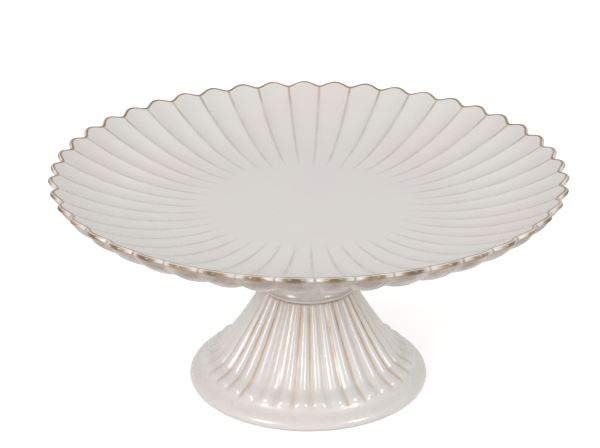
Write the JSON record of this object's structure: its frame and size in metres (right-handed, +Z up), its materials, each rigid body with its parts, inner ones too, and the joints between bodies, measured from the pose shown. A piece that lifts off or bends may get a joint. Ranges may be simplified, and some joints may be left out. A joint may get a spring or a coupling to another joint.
{
  "type": "cake stand",
  "caption": "Footed cake stand in glazed stoneware: shallow dish of petals with a scalloped rim, smooth flared neck and a hollow ribbed trumpet foot with a rounded base.",
  "frame": {"origin": "on the table, under the middle of the foot", "axes": "+Z up; -Y towards the front, where a notch between two petals and a groove between two ribs lie"},
  "size_m": [0.2698, 0.2697, 0.122],
  "materials": {
    "ivory_glaze": "glossy ivory glaze that breaks to brown on the rim and pools amber in the grooves",
    "fired_slip": "matt, unglazed"
  },
  "bodies": {
    "root": {"dish": "ivory_glaze", "collar": "ivory_glaze", "pedestal": "ivory_glaze", "dish_joint_slip": "fired_slip", "foot_joint_slip": "fired_slip"}
  },
  "joints": []
}
